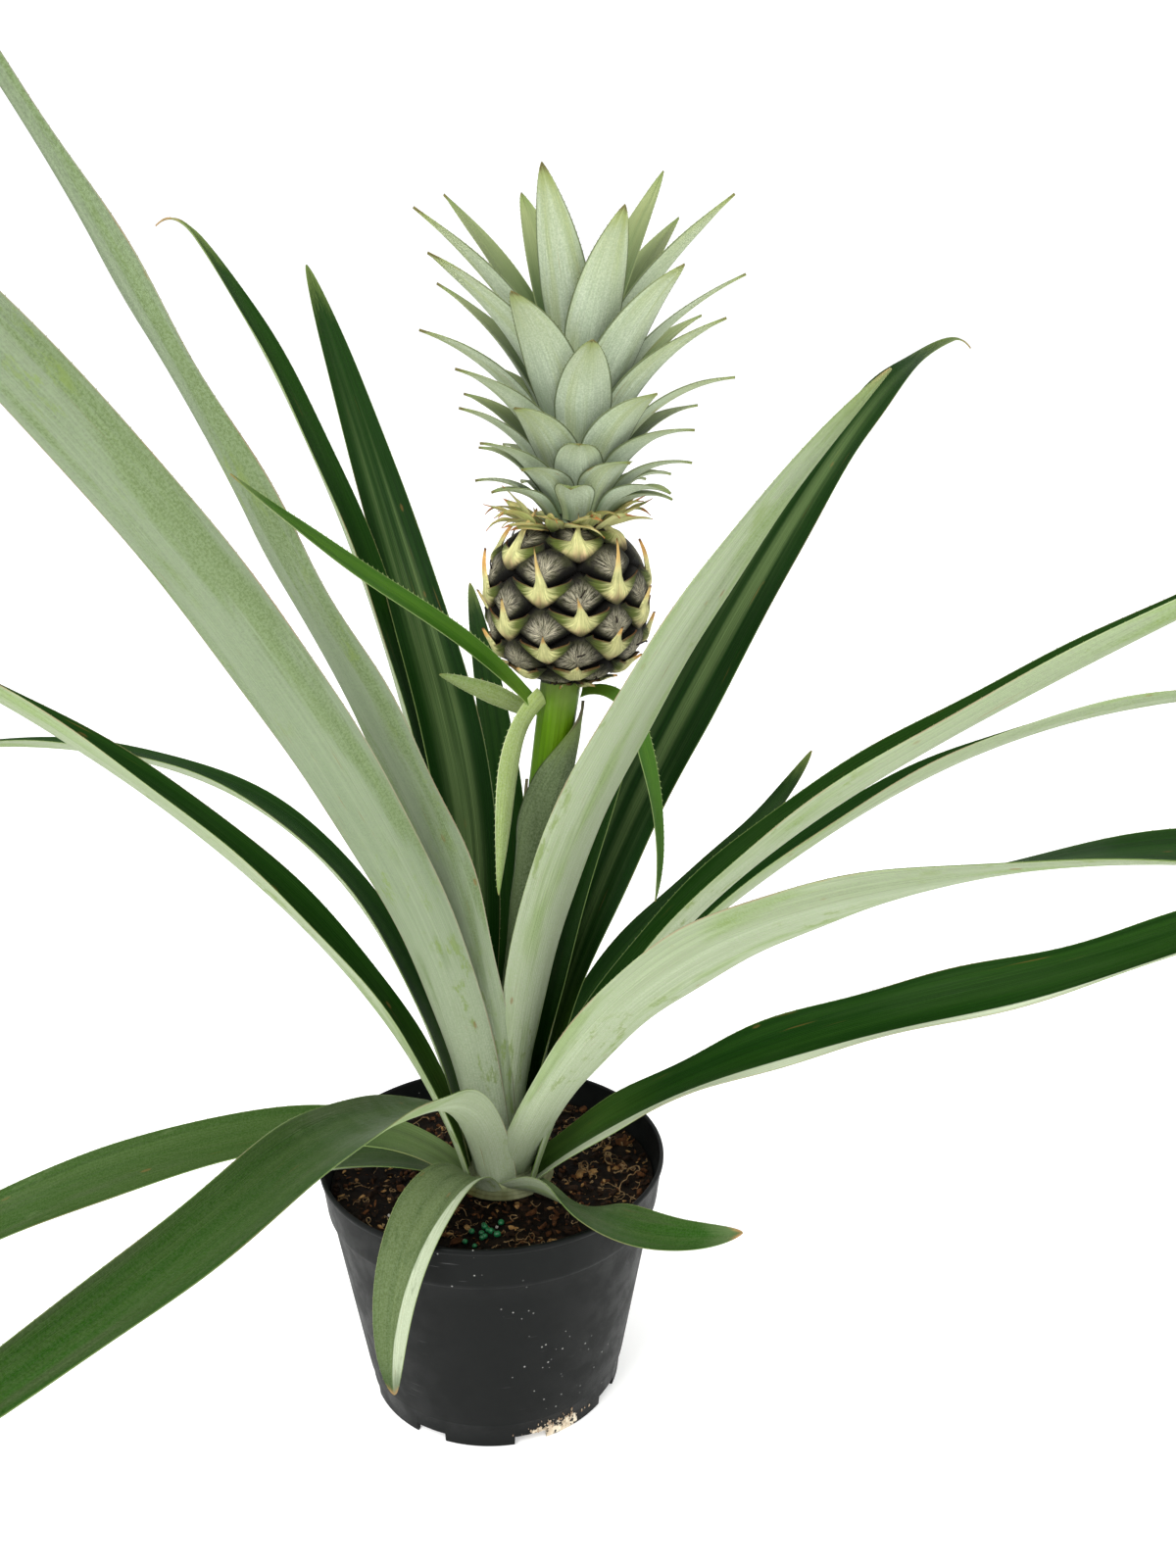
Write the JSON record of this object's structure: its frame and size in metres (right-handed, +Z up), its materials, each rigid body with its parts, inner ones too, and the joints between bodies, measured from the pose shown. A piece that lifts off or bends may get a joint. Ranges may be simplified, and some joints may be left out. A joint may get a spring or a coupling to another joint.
{
  "type": "potted pineapple plant",
  "caption": "Potted pineapple plant: a small crowned fruit on its stalk above a rosette of long strap leaves, in a round nursery pot of soil.",
  "frame": {"origin": "centre of the pot's underside, on the small pad that touches the floor", "axes": "+Z up along the pot's axis; -Y is the front of the plant and +X its right"},
  "size_m": [0.6712, 0.5516, 0.5247],
  "materials": {
    "pot_plastic": "matt black, with pale specks and fine scratches",
    "potting_soil": "moist dark peat with bark, fibres and perlite",
    "stem": "pale green, matt",
    "rosette_leaf": "dark satin green above, pale silvery grey-green scurf below",
    "fruit_stalk": "smooth yellow-green, satin",
    "stalk_bract": "fresh green above, grey-green below",
    "stalk_sheath": "grey-green scurf with a dry margin",
    "fruit_skin": "grey-brown eyes with fuzzy pale centres and yellow-green bracts",
    "crown_leaf": "silvery grey-green scurf, matt"
  },
  "bodies": {
    "root": {"crown_collar_lower": "crown_leaf", "crown_collar_middle": "crown_leaf", "crown_collar_upper": "crown_leaf", "crown_core": "crown_leaf", "crown_leaf_27": "crown_leaf", "crown_leaf_28": "crown_leaf", "crown_leaf_29": "crown_leaf", "crown_leaf_30": "crown_leaf", "crown_leaf_31": "crown_leaf", "crown_leaf_32": "crown_leaf", "crown_leaf_33": "crown_leaf", "crown_leaf_34": "crown_leaf", "crown_leaf_35": "crown_leaf", "crown_leaf_36": "crown_leaf", "crown_leaf_37": "crown_leaf", "crown_leaf_38": "crown_leaf", "crown_leaf_39": "crown_leaf", "crown_leaf_40": "crown_leaf", "crown_leaf_41": "crown_leaf", "crown_leaf_42": "crown_leaf", "crown_leaf_43": "crown_leaf", "crown_leaf_44": "crown_leaf", "crown_leaf_45": "crown_leaf", "crown_leaf_46": "crown_leaf", "crown_leaf_47": "crown_leaf", "crown_leaf_48": "crown_leaf", "crown_leaf_49": "crown_leaf", "crown_leaf_50": "crown_leaf", "fruit": "fruit_skin", "fruit_stalk": "fruit_stalk", "leaf_01_low_left": "rosette_leaf", "leaf_02_left": "rosette_leaf", "leaf_03_front_short": "rosette_leaf", "leaf_04_front_right_short": "rosette_leaf", "leaf_05_right_low": "rosette_leaf", "leaf_06_left_arching": "rosette_leaf", "leaf_07_front_left": "rosette_leaf", "leaf_08_back_left_drooping": "rosette_leaf", "leaf_09_back_right_short": "rosette_leaf", "leaf_10_right": "rosette_leaf", "leaf_11_front_right": "rosette_leaf", "leaf_12_back_left": "rosette_leaf", "leaf_13_right_narrow": "rosette_leaf", "leaf_14_front_left_tall": "rosette_leaf", "leaf_15_back_tall": "rosette_leaf", "leaf_16_back_right_tall": "rosette_leaf", "leaf_17_left_tall": "rosette_leaf", "leaf_18_back_right_inner": "rosette_leaf", "leaf_19_front_inner": "rosette_leaf", "leaf_20_back_inner": "rosette_leaf", "nursery_pot": "pot_plastic", "potting_soil": "potting_soil", "stalk_bract_left": "stalk_bract", "stalk_bract_long": "stalk_bract", "stalk_bract_right": "stalk_bract", "stalk_sheath_back": "stalk_sheath", "stalk_sheath_front": "stalk_sheath", "stem_base": "stem"}
  },
  "joints": []
}
